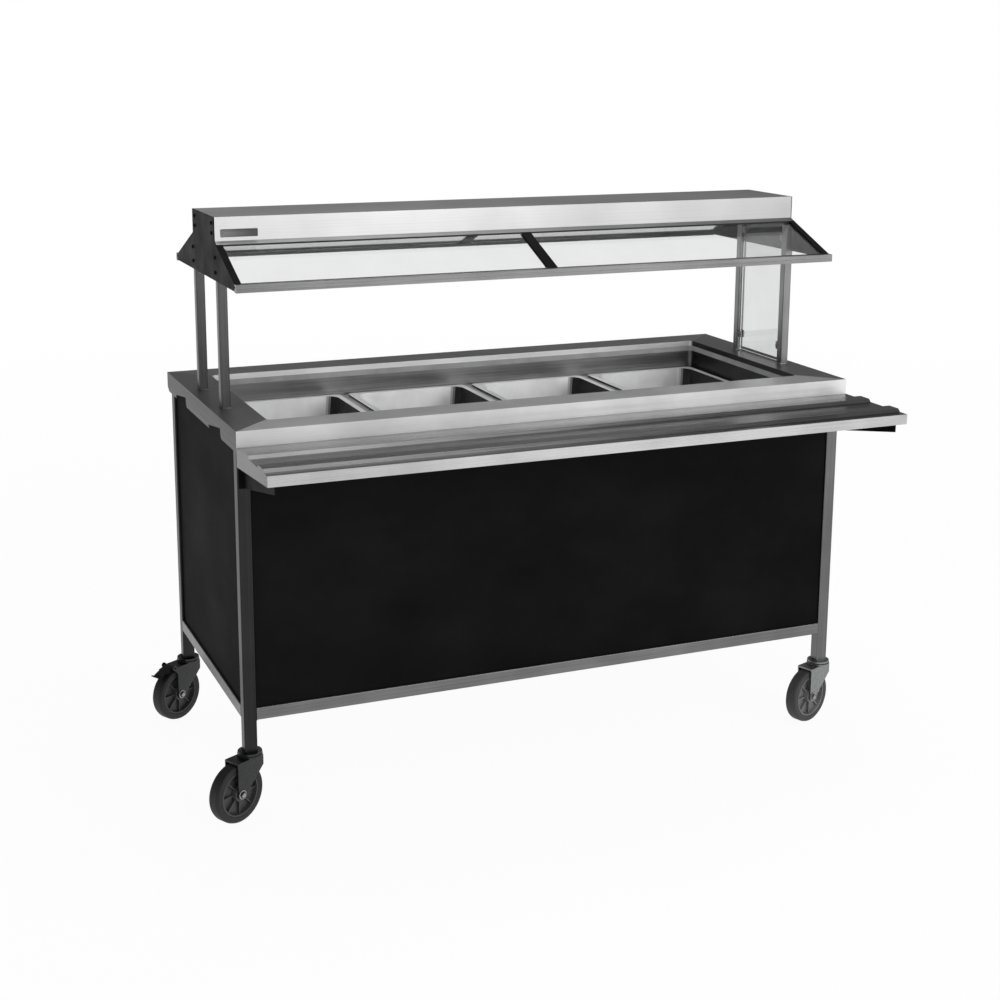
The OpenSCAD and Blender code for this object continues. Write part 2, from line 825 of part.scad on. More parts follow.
module guard_rail(side_y) {
    outer = half_l - end_inset;
    color("#c8cacc") at_counter() on_side(side_y)
        along_x(-outer, outer)
            difference() {
                translate([rail_in_y, rail_top_z - guard_rail_height])
                    square([guard_rail_width, guard_rail_height]);
                slope_strip(slope_length - 8, slope_length + glass_entry + side_gap,
                    -glass_drop - glass - side_gap, -glass_drop + side_gap);
            }
}

module end_pane() {
    half_w = post_y - post_width / 2 - clip_back - side_gap;
    gap = 4;
    color([0.8, 0.88, 0.9, 0.35]) at_counter()
        translate([post_x - glass / 2, -half_w, counter_height + gap])
            cube([glass, 2 * half_w, canopy_bottom - counter_height - 2 * gap]);
}

module end_pane_clips() {
    face_y = post_y - post_width / 2;
    color("#707276") at_counter()
        for (z = clip_heights)
            for (side_y = [-1, 1])
                translate([post_x, side_y * (face_y - clip_size[1] / 2), counter_height + z])
                    difference() {
                        cube(clip_size, center = true);
                        translate([0, -side_y * clip_back, 0])
                            cube([glass + 2 * side_gap, clip_size[1], clip_size[2] + 2],
                                center = true);
                    }
}

// Tray slide: a folded sheet with two raised ribs, drawn as reach and height

function rib_line(z) = [for (c = [rib_first, rib_first + rib_pitch])
    each [[c - rib_width / 2, z], [c - rib_crest / 2, z + rib_rise],
        [c + rib_crest / 2, z + rib_rise], [c + rib_width / 2, z]]];

function reversed(list) = [for (i = [len(list) - 1 : -1 : 0]) list[i]];

module reach_out() {
    mirror([1, 0]) translate([half_d, 0]) children();
}

module tray_slide() {
    front_z = slide_top - slide_face;
    rear_z = slide_top - 20;
    under = slide_top - slide_sheet;
    inner = slide_depth - slide_sheet;
    section = concat([[slide_gap, rear_z], [slide_gap, slide_top]], rib_line(slide_top),
        [[slide_depth, slide_top], [slide_depth, front_z],
            [slide_depth - slide_return, front_z],
            [slide_depth - slide_return, front_z + slide_sheet],
            [inner, front_z + slide_sheet], [inner, under]],
        reversed(rib_line(under)),
        [[slide_gap + slide_sheet, under], [slide_gap + slide_sheet, rear_z]]);
    end_plate = concat([[slide_gap, slide_top - slide_end_height], [slide_gap, slide_top]],
        rib_line(slide_top), [[slide_depth, slide_top], [slide_depth, front_z]]);
    color("#b8babc") at_counter() {
        along_x(-half_l, half_l) reach_out() polygon(section);
        for (x = [-half_l, half_l - slide_sheet])
            along_x(x, x + slide_sheet) reach_out() polygon(end_plate);
    }
}

module slide_brackets() {
    seat_z = slide_top - slide_sheet;
    root_top = counter_height - apron_height - 8;
    web_in = slide_gap + slide_sheet + 2;
    color("#2a2a2c") at_counter()
        for (side_x = [-1, 1])
            translate([side_x * leg_x, 0, 0]) {
                along_x(-bracket_sheet / 2, bracket_sheet / 2) reach_out()
                    polygon([[-leg_inset_y, root_top - bracket_root],
                        [-leg_inset_y, root_top], [web_in, root_top], [web_in, seat_z],
                        [bracket_reach, seat_z], [bracket_reach, seat_z - bracket_tip]]);
                along_x(-bracket_half, bracket_half) reach_out()
                    translate([-leg_inset_y, root_top - bracket_root])
                        square([bracket_sheet, bracket_root]);
                along_x(-bracket_half, bracket_half) reach_out()
                    translate([web_in, seat_z - bracket_sheet])
                        square([bracket_reach - web_in, bracket_sheet]);
            }
}

// Casters, each drawn with its swivel axis at X = 0, Y = 0 and its wheel trailing to -X

function turn_of(side_x, side_y) = caster_turns[(side_x > 0 ? 1 : 0) + (side_y > 0 ? 2 : 0)];

module at_caster(side_x, side_y) {
    at_counter() translate([side_x * leg_x, side_y * leg_y, 0])
        rotate([0, 0, turn_of(side_x, side_y)]) children();
}

module caster_mounts() {
    stem = leg_width - 2 * tube_wall - 2 * side_gap;
    nut_bottom = bridge_bottom - nut_gap - kingnut_height;
    color("#9a9c9e") at_counter()
        for (side_x = [-1, 1])
            for (side_y = [-1, 1])
                translate([side_x * leg_x, side_y * leg_y, 0]) {
                    block(stem, stem, 1, leg_bottom, leg_bottom + stem_height);
                    translate([0, 0, leg_bottom - cup_height])
                        cylinder(r = cup_radius, h = cup_height);
                    translate([0, 0, nut_bottom])
                        cylinder(d = kingpin_diameter, h = leg_bottom - nut_bottom);
                    translate([0, 0, nut_bottom])
                        cylinder(r = kingnut_radius, h = kingnut_height, $fn = 6);
                }
}

module fork_side(brake) {
    shoulder_z = crown_bottom - fork_shoulder;
    inside = fork_eye - eye_step;
    lead = atan2(wheel_trail + fork_front, shoulder_z - wheel_radius);
    difference() {
        union() {
            polygon([[fork_back, crown_bottom], [fork_back, wheel_radius],
                [-wheel_trail + inside * cos(lead), wheel_radius - inside * sin(lead)],
                [fork_front, shoulder_z], [fork_front, crown_bottom]]);
            translate([-wheel_trail, wheel_radius]) circle(fork_eye);
            if (brake) {
                translate(pedal_pivot) circle(pedal_ear);
                polygon([[fork_back + 1, pedal_pivot[1] - 20],
                    pedal_pivot + [1 - pedal_ear, 0], pedal_pivot + [0, pedal_ear - 1],
                    [fork_back + 1, crown_bottom]]);
            }
        }
        translate([-wheel_trail, wheel_radius]) circle(d = axle_diameter + 2 * running_gap);
        if (brake)
            translate(pedal_pivot) circle(pedal_pin + running_gap);
    }
}

module fork(side_x, side_y) {
    brake = side_y > 0;
    color("#8e9092") at_caster(side_x, side_y) {
        difference() {
            union() {
                translate([0, 0, crown_bottom]) rotate_extrude()
                    polygon([[0, 0], [crown_radius, 0],
                        [crown_radius, crown_height - crown_chamfer],
                        [crown_radius - crown_chamfer, crown_height], [0, crown_height]]);
                translate([fork_back, -fork_outer, bridge_bottom])
                    cube([fork_front - fork_back, 2 * fork_outer, bridge_height]);
                for (y = [-fork_outer, fork_inner])
                    along_y(y, y + fork_plate) fork_side(brake);
            }
            translate([0, 0, bridge_bottom - 1])
                cylinder(d = kingpin_diameter + 2 * running_gap,
                    h = bridge_height + crown_height + 2);
        }
        translate([-wheel_trail, 0, wheel_radius]) rotate([90, 0, 0]) {
            cylinder(d = axle_diameter, h = 2 * fork_outer + 2 * axle_head, center = true);
            for (z = [-fork_outer - axle_head, fork_outer])
                translate([0, 0, z]) cylinder(r = axle_diameter * 0.85, h = axle_head, $fn = 6);
        }
    }
}

module at_axle(side_x, side_y) {
    at_caster(side_x, side_y) translate([-wheel_trail, 0, wheel_radius]) rotate([90, 0, 0])
        children();
}

module tyre(side_x, side_y) {
    other_side = [for (i = [len(tyre_outline) - 1 : -1 : 0])
        [tyre_outline[i][0], -tyre_outline[i][1]]];
    color("#151515") at_axle(side_x, side_y) rotate_extrude($fn = 96)
        polygon(concat(tyre_outline, other_side));
}

module hub(side_x, side_y) {
    bore = axle_diameter / 2 + running_gap;
    barrel = 17;
    web = 4;
    rim = tread_width / 2 - 1;
    end = fork_inner - 2;
    color("#3a3c3e") at_axle(side_x, side_y) rotate_extrude($fn = 96)
        polygon([[bore, -end], [barrel, -end], [barrel + 2, -web], [rim_radius - 5, -web],
            [rim_radius - 3, -rim], [rim_radius, -rim], [rim_radius, rim],
            [rim_radius - 3, rim], [rim_radius - 5, web], [barrel + 2, web],
            [barrel, end], [bore, end]]);
}

// A pressed lever whose shoe comes down on the tyre; its tip is lower than its pivot
module brake_pedal(side_x, side_y) {
    tip_drop = 20;
    shoe_gap = 3.4;
    shoe_radius = wheel_radius + shoe_gap;
    shoe = [for (x = [38, 34, 30]) [-wheel_trail - x,
        wheel_radius + sqrt(shoe_radius * shoe_radius - x * x)]];
    tip = [-pedal_reach, pedal_pivot[1] - tip_drop];
    color("#4a4c4e") at_caster(side_x, side_y) {
        translate([pedal_pivot[0], 0, pedal_pivot[1]]) rotate([90, 0, 0]) {
            cylinder(r = pedal_barrel, h = 2 * fork_inner - 1, center = true);
            cylinder(r = pedal_pin, h = 2 * fork_outer + 2, center = true);
        }
        along_y(-pedal_half, pedal_half) {
            polygon([pedal_pivot + [0, pedal_barrel], tip + [9, 5], tip + [2, 8],
                tip + [0, 6], tip + [7, 1], pedal_pivot + [-8, -2], pedal_pivot + [0, -2]]);
            polygon(concat(shoe, [pedal_pivot + [-9, 0], pedal_pivot + [-24, -4]]));
        }
    }
}

leg(-1, -1);  // leg_front_left
leg(1, -1);  // leg_front_right
leg(-1, 1);  // leg_back_left
leg(1, 1);  // leg_back_right
long_rail(-1);  // bottom_rail_front
long_rail(1);  // bottom_rail_back
end_rail(-1);  // bottom_rail_left
end_rail(1);  // bottom_rail_right
top_frame();
front_panel();
side_panel(-1);  // left_panel
side_panel(1);  // right_panel
bottom_shelf();
counter_top();
breaker_strip();
well_liner();
well_insulation();
well_casing();
false_bottom();
adapter_bars();
drain_outlet();
drain_valve_body();
drain_valve_handle();
pan(1);  // pan_1
pan(2);  // pan_2
pan(3);  // pan_3
pan(4);  // pan_4
post(-1, -1);  // post_front_left
post(1, -1);  // post_front_right
post(-1, 1);  // post_back_left
post(1, 1);  // post_back_right
canopy();
end_panel(-1);  // end_panel_left
end_panel(1);  // end_panel_right
glass_pane(-1, -1);  // glass_front_left
glass_pane(1, -1);  // glass_front_right
glass_pane(-1, 1);  // glass_back_left
glass_pane(1, 1);  // glass_back_right
guard_dividers();
guard_rail(-1);  // guard_rail_front
guard_rail(1);  // guard_rail_back
end_pane();
end_pane_clips();
tray_slide();
slide_brackets();
caster_mounts();
fork(-1, -1);  // fork_front_left
fork(1, -1);  // fork_front_right
fork(-1, 1);  // fork_back_left
fork(1, 1);  // fork_back_right
tyre(-1, -1);  // tyre_front_left
tyre(1, -1);  // tyre_front_right
tyre(-1, 1);  // tyre_back_left
tyre(1, 1);  // tyre_back_right
hub(-1, -1);  // hub_front_left
hub(1, -1);  // hub_front_right
hub(-1, 1);  // hub_back_left
hub(1, 1);  // hub_back_right
brake_pedal(-1, 1);  // brake_pedal_back_left
brake_pedal(1, 1);  // brake_pedal_back_right
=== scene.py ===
import math
import bmesh
import bpy
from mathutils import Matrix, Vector


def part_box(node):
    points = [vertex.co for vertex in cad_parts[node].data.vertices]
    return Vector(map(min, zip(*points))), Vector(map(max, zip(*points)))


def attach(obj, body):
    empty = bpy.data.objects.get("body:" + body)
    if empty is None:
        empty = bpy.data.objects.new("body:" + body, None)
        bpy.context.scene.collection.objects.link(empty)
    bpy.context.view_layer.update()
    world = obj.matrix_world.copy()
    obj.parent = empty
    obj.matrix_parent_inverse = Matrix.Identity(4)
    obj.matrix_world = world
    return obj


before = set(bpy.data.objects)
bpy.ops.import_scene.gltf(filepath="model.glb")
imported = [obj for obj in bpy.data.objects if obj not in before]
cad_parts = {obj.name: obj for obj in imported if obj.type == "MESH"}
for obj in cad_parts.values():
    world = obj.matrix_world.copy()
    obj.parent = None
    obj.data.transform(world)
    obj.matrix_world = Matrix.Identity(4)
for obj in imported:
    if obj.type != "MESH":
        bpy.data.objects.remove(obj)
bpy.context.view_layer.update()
topLow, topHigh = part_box("counter_top")
middle = (topLow + topHigh) / 2
topHalf = (topHigh - topLow) / 2
corners = ("front_left", "front_right", "back_left", "back_right")
overshelf = {"halfWide": 0.108, "bottom": 1.297, "angle": 22.02}  # its box, and the panes' slope in degrees
print("counter frame loaded,", len(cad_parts), "nodes")


# materials

def newFinish(name):
    finish = bpy.data.materials.new(name)
    finish.use_nodes = True
    return finish, finish.node_tree, finish.node_tree.nodes["Principled BSDF"]


def grey(tone):
    return (tone, tone, tone)


def addNode(tree, kind, inputs=None, **options):
    node = tree.nodes.new(kind)
    for key, value in options.items():
        setattr(node, key, value)
    for key, value in (inputs or {}).items():
        node.inputs[key].default_value = value
    return node


# one step of arithmetic on numbers or on the outputs of other nodes
def calculated(tree, operation, first, second=0.0, **options):
    node = addNode(tree, "ShaderNodeMath", operation=operation, **options)
    for socket, value in zip(node.inputs, (first, second)):
        if isinstance(value, (int, float)):
            socket.default_value = value
        else:
            tree.links.new(value, socket)
    return node.outputs["Value"]


def mappedNoise(tree, stretch, scale, detail=3.0, roughness=0.5):
    place = addNode(tree, "ShaderNodeTexCoord")
    mapping = addNode(tree, "ShaderNodeMapping", {"Scale": stretch})
    noise = addNode(tree, "ShaderNodeTexNoise", {"Scale": scale, "Detail": detail, "Roughness": roughness})
    tree.links.new(place.outputs["Object"], mapping.inputs["Vector"])
    tree.links.new(mapping.outputs["Vector"], noise.inputs["Vector"])
    return noise.outputs["Fac"]


def splitVector(tree, source):
    split = addNode(tree, "ShaderNodeSeparateXYZ")
    tree.links.new(source, split.inputs["Vector"])
    return split.outputs


def spread(tree, source, low, high, start=0.3, end=0.7):
    limits = {"From Min": start, "From Max": end, "To Min": low, "To Max": high}
    ranged = addNode(tree, "ShaderNodeMapRange", limits)
    tree.links.new(source, ranged.inputs["Value"])
    return ranged.outputs["Result"]


def twoTones(tree, source, dark, light, start=0.3, end=0.7):
    ramp = addNode(tree, "ShaderNodeValToRGB")
    for stop, place, tone in zip(ramp.color_ramp.elements, (start, end), (dark, light)):
        stop.position = place
        stop.color = (*tone, 1)
    tree.links.new(source, ramp.inputs["Fac"])
    return ramp.outputs["Color"]


def multiplyTones(tree, first, second, share=None):
    mix = addNode(tree, "ShaderNodeMix", data_type="RGBA", blend_type="MULTIPLY")
    mix.inputs["Factor"].default_value = 1.0
    if share:
        tree.links.new(share, mix.inputs["Factor"])
    tree.links.new(first, mix.inputs["A"])
    tree.links.new(second, mix.inputs["B"])
    return mix.outputs["Result"]


def bumpFrom(tree, shader, source, strength, distance=0.0003):
    bump = addNode(tree, "ShaderNodeBump", {"Strength": strength, "Distance": distance})
    tree.links.new(source, bump.inputs["Height"])
    tree.links.new(bump.outputs["Normal"], shader.inputs["Normal"])


def wearSurface(tree, surface):
    tree.links.new(surface, tree.nodes["Material Output"].inputs["Surface"])


# painted shade: a share of the tone that changes slowly from the counter's left end to its right end
shadeSpanX = (-0.75, 0.83)


def paintedShadeAlongCounter(tree, left, right):
    place = addNode(tree, "ShaderNodeTexCoord")
    along = splitVector(tree, place.outputs["Object"])["X"]
    share = spread(tree, along, 0.0, 1.0, *shadeSpanX)
    return twoTones(tree, share, grey(left), grey(right), 0.0, 1.0)


# painted shade: faces that look one way, along "X" or "Z" and up or down it, keep only a share of their tone
def paintedShadeOnFaces(tree, axis, way, share, start=0.6, end=0.9):
    shape = addNode(tree, "ShaderNodeNewGeometry")
    facing = calculated(tree, "MULTIPLY", splitVector(tree, shape.outputs["Normal"])[axis], way)
    return twoTones(tree, facing, grey(1), grey(share), start, end)


# brushed steel: the grain's stretch along X, Y and Z, the darkest and lightest tone, the roughness,
# the metallic share, cloudy handling marks and their scale, the share of the tone that is left on
# faces to the left and on top (painted shade) with the slopes between which it fades, the share at
# the counter's left and right end (painted shade), and how much the grain stands out
longX, longY, longZ = (2.5, 420, 420), (420, 2.5, 420), (420, 420, 2.5)
fineX, fineY = (2.5, 900, 900), (900, 2.5, 900)
plainSteel = {"grain": fineX, "tones": (0.62, 0.80), "rough": (0.22, 0.36), "metal": 1.0,
              "marks": (0.80, 5.0), "left": 1.0, "leftFade": (0.6, 0.9), "top": 1.0, "topFade": (0.6, 0.9),
              "ends": None, "bite": 0.06}
# the "left", "top" and "ends" entries below are painted shade
steels = {
    "slideSteel": {"tones": (0.52, 0.63), "left": 0.19, "top": 0.19, "topFade": (0.45, 0.85)},
    "steelAlongX": {"left": 0.22, "top": 0.5},
    "shelfSteel": {"tones": (0.60, 0.72), "rough": (0.44, 0.56), "metal": 0.7},
    "canopySteel": {"tones": (0.57, 0.68), "rough": (0.34, 0.46), "marks": (0.84, 3.5), "ends": (1.0, 0.67)},
    "railSteel": {"grain": longX, "tones": (0.16, 0.24), "rough": (0.30, 0.46)},
    # the back guard rail's steel: the rail steel darkened, painted shade under the overshelf
    "shadedBackRailSteel": {"grain": longX, "tones": (0.025, 0.045), "rough": (0.30, 0.46)},
    "steelAlongY": {"grain": longY, "tones": (0.40, 0.54)},
    "legSteel": {"grain": longZ, "tones": (0.13, 0.20), "rough": (0.30, 0.46), "ends": (0.22, 1.0)},
    "postSteel": {"grain": longZ, "tones": (0.20, 0.28), "rough": (0.26, 0.42), "ends": (0.40, 1.0)},
    "clipSteel": {"grain": (420, 420, 30), "tones": (0.28, 0.36)},
    "plateSteel": {"grain": (30, 600, 600), "tones": (0.10, 0.16), "rough": (0.34, 0.48)},
    "guardSteel": {"grain": longX, "tones": (0.17, 0.24)},
    "wellSteel": {"grain": (3.0, 300, 300), "tones": (0.22, 0.32), "rough": (0.30, 0.48), "left": 0.2},
    "drawnSteel": {"grain": (40, 40, 14), "tones": (0.90, 0.95), "rough": (0.46, 0.58), "metal": 0.6,
                   "marks": (0.80, 7.0), "left": 0.03, "leftFade": (0.1, 0.6)},
    "capZinc": {"grain": (200, 200, 200), "tones": (0.28, 0.40), "rough": (0.30, 0.42)},
}
# the counter top's "left" and "top" entries and its end lengths' and back length's shares are painted shade
topSteel = {**plainSteel, "tones": (0.84, 0.93), "rough": (0.34, 0.46), "metal": 0.78, "marks": (0.84, 5.0),
            "left": 0.13, "top": 0.62, "bite": 0.05, "endLengthShade": 0.27, "backLengthShadow": 0.35}


def grainLines(tree, stretch):
    return mappedNoise(tree, stretch, 1.0, 4.0, 0.6)


def steelTone(tree, lines, look):
    clouds = mappedNoise(tree, (1, 1, 1), look["marks"][1], 3.0, 0.55)
    tone = multiplyTones(tree, twoTones(tree, lines, *map(grey, look["tones"])),
                         twoTones(tree, clouds, grey(look["marks"][0]), grey(1), 0.32, 0.6))
    # painted shade on faces to the left and on top, and along the counter from end to end
    if look["left"] < 1.0:
        tone = multiplyTones(tree, tone, paintedShadeOnFaces(tree, "X", -1, look["left"], *look["leftFade"]))
    if look["top"] < 1.0:
        tone = multiplyTones(tree, tone, paintedShadeOnFaces(tree, "Z", 1, look["top"], *look["topFade"]))
    if look["ends"]:
        tone = multiplyTones(tree, tone, paintedShadeAlongCounter(tree, *look["ends"]))
    return tone


def putSteel(tree, shader, tone, lines, look):
    tree.links.new(tone, shader.inputs["Base Color"])
    tree.links.new(spread(tree, lines, *look["rough"]), shader.inputs["Roughness"])
    shader.inputs["Metallic"].default_value = look["metal"]
    bumpFrom(tree, shader, lines, look["bite"])


def brushedSteel(name, look):
    finish, tree, shader = newFinish(name)
    lines = grainLines(tree, look["grain"])
    putSteel(tree, shader, steelTone(tree, lines, look), lines, look)
    return finish


# the counter top's grain runs along each of its four mitred lengths; its end lengths carry painted shade, and
# the upward faces of its back length the overshelf's painted shadow
def mitredSteel(name, look):
    finish, tree, shader = newFinish(name)
    place = addNode(tree, "ShaderNodeTexCoord")
    at = splitVector(tree, place.outputs["Object"])
    reach = []  # how far a point lies past the top's edge along X and Y, below zero inside it
    for axis, centre, half in (("X", middle.x, topHalf.x), ("Y", middle.y, topHalf.y)):
        away = calculated(tree, "ABSOLUTE", calculated(tree, "SUBTRACT", at[axis], centre))
        reach.append(calculated(tree, "SUBTRACT", away, half))
    end = calculated(tree, "GREATER_THAN", reach[0], reach[1])
    behind = calculated(tree, "GREATER_THAN", at["Y"], middle.y)
    back = calculated(tree, "SUBTRACT", behind, end, use_clamp=True)  # the back length up to its mitres
    grain = addNode(tree, "ShaderNodeMix", data_type="FLOAT")
    tree.links.new(end, grain.inputs["Factor"])
    tree.links.new(grainLines(tree, fineX), grain.inputs["A"])
    tree.links.new(grainLines(tree, fineY), grain.inputs["B"])
    lines = grain.outputs["Result"]
    tone = steelTone(tree, lines, look)
    # painted shade on the end lengths, and the overshelf's painted shadow on the back length's upward faces
    tone = multiplyTones(tree, tone, twoTones(tree, end, grey(1), grey(look["endLengthShade"]), 0.4, 0.6))
    tone = multiplyTones(tree, tone, paintedShadeOnFaces(tree, "Z", 1, look["backLengthShadow"]), back)
    putSteel(tree, shader, tone, lines, look)
    return finish


# the panels' laminate: its low index keeps it from shining, as in the photo
laminate = {"tones": ((0.0055, 0.0055, 0.006), (0.0105, 0.0105, 0.011)), "rough": (0.52, 0.66), "index": 1.07,
            "clouds": 3.2, "stipple": 900.0, "bite": 0.25}


def blackLaminate(name):
    finish, tree, shader = newFinish(name)
    stipple = mappedNoise(tree, (1, 1, 1), laminate["stipple"], 2.0)
    clouds = mappedNoise(tree, (1, 1, 1.6), laminate["clouds"], 4.0, 0.6)
    tree.links.new(twoTones(tree, clouds, *laminate["tones"]), shader.inputs["Base Color"])
    tree.links.new(spread(tree, clouds, *laminate["rough"]), shader.inputs["Roughness"])
    shader.inputs["IOR"].default_value = laminate["index"]
    bumpFrom(tree, shader, stipple, laminate["bite"])
    return finish


# black enamel with a slight orange peel: the middle tone and the roughness
enamels = {"blackEnamel": {"tone": 0.009, "rough": 0.42}, "pedalEnamel": {"tone": 0.02, "rough": 0.34}}
enamelSkin = {"index": 1.08, "clouds": 14.0, "peel": 260.0, "bite": 0.12}


def blackEnamel(name, tone, rough):
    finish, tree, shader = newFinish(name)
    peel = mappedNoise(tree, (1, 1, 1), enamelSkin["peel"], 2.0)
    clouds = mappedNoise(tree, (1, 1, 1), enamelSkin["clouds"])
    tree.links.new(twoTones(tree, clouds, grey(tone * 0.75), grey(tone * 1.4)), shader.inputs["Base Color"])
    tree.links.new(spread(tree, clouds, rough - 0.06, rough + 0.1), shader.inputs["Roughness"])
    shader.inputs["IOR"].default_value = enamelSkin["index"]
    bumpFrom(tree, shader, peel, enamelSkin["bite"], 0.0004)
    return finish


# glass that lets lamplight through as if it were thin: the darker and lighter tone of each pane, between
# which its smears vary; the back panes' low tones are painted shade
panes = {"clearGlass": (0.86, 0.89), "shadedBackGlass": (0.50, 0.54), "paneGlass": (0.70, 0.74)}
glass = {"tint": 0.005, "smears": 9.0, "rough": (0.0, 0.035), "index": 1.45, "shade": (0.93, 0.94, 0.94, 1)}


def clearGlass(name, dark, light):
    finish, tree, shader = newFinish(name)
    smears = mappedNoise(tree, (1, 1, 1), glass["smears"])
    tones = [(tone, tone + glass["tint"], tone + glass["tint"]) for tone in (dark, light)]
    tree.links.new(twoTones(tree, smears, *tones), shader.inputs["Base Color"])
    tree.links.new(spread(tree, smears, *glass["rough"]), shader.inputs["Roughness"])
    shader.inputs["Transmission Weight"].default_value = 1.0
    shader.inputs["IOR"].default_value = glass["index"]
    rays = addNode(tree, "ShaderNodeLightPath")
    through = addNode(tree, "ShaderNodeBsdfTransparent", {"Color": glass["shade"]})
    mix = addNode(tree, "ShaderNodeMixShader")
    tree.links.new(rays.outputs["Is Shadow Ray"], mix.inputs["Fac"])
    tree.links.new(shader.outputs["BSDF"], mix.inputs[1])
    tree.links.new(through.outputs["BSDF"], mix.inputs[2])
    wearSurface(tree, mix.outputs["Shader"])
    return finish


# plastics, foam, rubber and brass: tones, roughness, how fine the skin is and how much it stands out; the
# tyres' and hubs' "ends" are painted shade along the counter
mouldings = {
    "breakerPlastic": {"tones": ((0.30, 0.30, 0.305), (0.40, 0.40, 0.405)), "rough": 0.50,
                       "skin": (420, 0.15)},
    "wellFoam": {"tones": ((0.62, 0.54, 0.33), (0.80, 0.72, 0.50)), "rough": 0.88, "skin": (160, 0.6)},
    "valveBrass": {"tones": ((0.48, 0.36, 0.17), (0.66, 0.52, 0.28)), "rough": 0.34, "skin": (300, 0.12),
                   "metal": 1.0},
    "leverSleeve": {"tones": ((0.016, 0.02, 0.03), (0.03, 0.04, 0.06)), "rough": 0.35, "skin": (260, 0.1)},
    "tyreRubber": {"tones": ((0.026, 0.026, 0.027), (0.050, 0.050, 0.051)), "rough": 0.62,
                   "skin": (520, 0.3), "ends": (0.22, 1.0)},
    "sealRubber": {"tones": ((0.007, 0.007, 0.0075), (0.014, 0.014, 0.0145)), "rough": 0.6,
                   "skin": (500, 0.2)},
    "hubNylon": {"tones": ((0.11, 0.11, 0.112), (0.19, 0.19, 0.193)), "rough": 0.48, "skin": (380, 0.15),
                 "ends": (0.30, 1.0)},
}


def moulded(name, tones, rough, skin, metal=0.0, ends=None):
    finish, tree, shader = newFinish(name)
    fine = mappedNoise(tree, (1, 1, 1), skin[0])
    clouds = mappedNoise(tree, (1, 1, 1), 22.0)
    tone = twoTones(tree, clouds, *tones)
    # painted shade, darker towards one end of the counter
    if ends:
        tone = multiplyTones(tree, tone, paintedShadeAlongCounter(tree, *ends))
    tree.links.new(tone, shader.inputs["Base Color"])
    tree.links.new(spread(tree, clouds, rough - 0.07, rough + 0.07), shader.inputs["Roughness"])
    shader.inputs["Metallic"].default_value = metal
    bumpFrom(tree, shader, fine, skin[1], 0.0005)
    return finish


# zinc with a spangle of small flakes, and painted shade darker towards the counter's left end
zinc = {"tones": ((0.30, 0.305, 0.31), (0.42, 0.425, 0.43)), "rough": (0.30, 0.46), "flakes": 130.0,
        "fade": (0.1, 0.8), "ends": (0.15, 0.72), "scuffs": 180.0, "bite": 0.1}


def zincPlate(name):
    finish, tree, shader = newFinish(name)
    place = addNode(tree, "ShaderNodeTexCoord")
    flakes = addNode(tree, "ShaderNodeTexVoronoi", {"Scale": zinc["flakes"]})
    tree.links.new(place.outputs["Object"], flakes.inputs["Vector"])
    spangle = twoTones(tree, flakes.outputs["Distance"], *zinc["tones"], *zinc["fade"])
    # painted shade along the counter
    tone = multiplyTones(tree, spangle, paintedShadeAlongCounter(tree, *zinc["ends"]))
    tree.links.new(tone, shader.inputs["Base Color"])
    roughness = spread(tree, flakes.outputs["Distance"], *zinc["rough"], *zinc["fade"])
    tree.links.new(roughness, shader.inputs["Roughness"])
    shader.inputs["Metallic"].default_value = 1.0
    bumpFrom(tree, shader, mappedNoise(tree, (1, 1, 1), zinc["scuffs"]), zinc["bite"], 0.0004)
    return finish


finishes = {name: brushedSteel(name, {**plainSteel, **look}) for name, look in steels.items()}
finishes.update({name: moulded(name, **look) for name, look in mouldings.items()})
finishes.update({name: blackEnamel(name, **look) for name, look in enamels.items()})
finishes.update({name: clearGlass(name, *tones) for name, tones in panes.items()})
finishes["counterSteel"] = mitredSteel("counterSteel", topSteel)
finishes["blackLaminate"] = blackLaminate("blackLaminate")
finishes["zincPlate"] = zincPlate("zincPlate")

nodeFinish = {
    "counterSteel": ["counter_top"],
    "slideSteel": ["tray_slide"],
    "steelAlongX": ["top_frame", "well_casing"],
    "shelfSteel": ["bottom_shelf"],
    "railSteel": ["bottom_rail_" + side for side in ("front", "back", "left", "right")],
    "canopySteel": ["canopy"],
    "guardSteel": ["guard_rail_front"],
    "shadedBackRailSteel": ["guard_rail_back"],
    "steelAlongY": ["adapter_bars", "drain_outlet"],
    "legSteel": ["leg_" + corner for corner in corners],
    "postSteel": ["post_" + corner for corner in corners],
    "clipSteel": ["end_pane_clips"],
    "wellSteel": ["well_liner", "false_bottom"],
    "drawnSteel": ["pan_1", "pan_2", "pan_3", "pan_4"],
    "blackLaminate": ["front_panel", "left_panel", "right_panel"],
    "blackEnamel": ["end_panel_left", "end_panel_right", "guard_dividers", "slide_brackets"],
    "clearGlass": ["glass_front_left", "glass_front_right"],
    "paneGlass": ["end_pane"],
    "shadedBackGlass": ["glass_back_left", "glass_back_right"],
    "breakerPlastic": ["breaker_strip"],
    "wellFoam": ["well_insulation"],
    "valveBrass": ["drain_valve_body"],
    "leverSleeve": ["drain_valve_handle"],
    "zincPlate": ["caster_mounts"] + ["fork_" + corner for corner in corners],
    "pedalEnamel": ["brake_pedal_back_left", "brake_pedal_back_right"],
    "tyreRubber": ["tyre_" + corner for corner in corners],
    "hubNylon": ["hub_" + corner for corner in corners],
}

for finishName, nodeNames in nodeFinish.items():
    for nodeName in nodeNames:
        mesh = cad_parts[nodeName].data
        mesh.materials.clear()
        mesh.materials.append(finishes[finishName])
print("finishes on the frame")


# helpers for the added pieces

def selectFaces(piece, test):
    mesh = bmesh.from_edit_mesh(piece.data)
    for face in mesh.faces:
        face.select_set(bool(test(face.calc_center_median(), face.normal)))
    mesh.select_flush(True)
    bmesh.update_edit_mesh(piece.data)


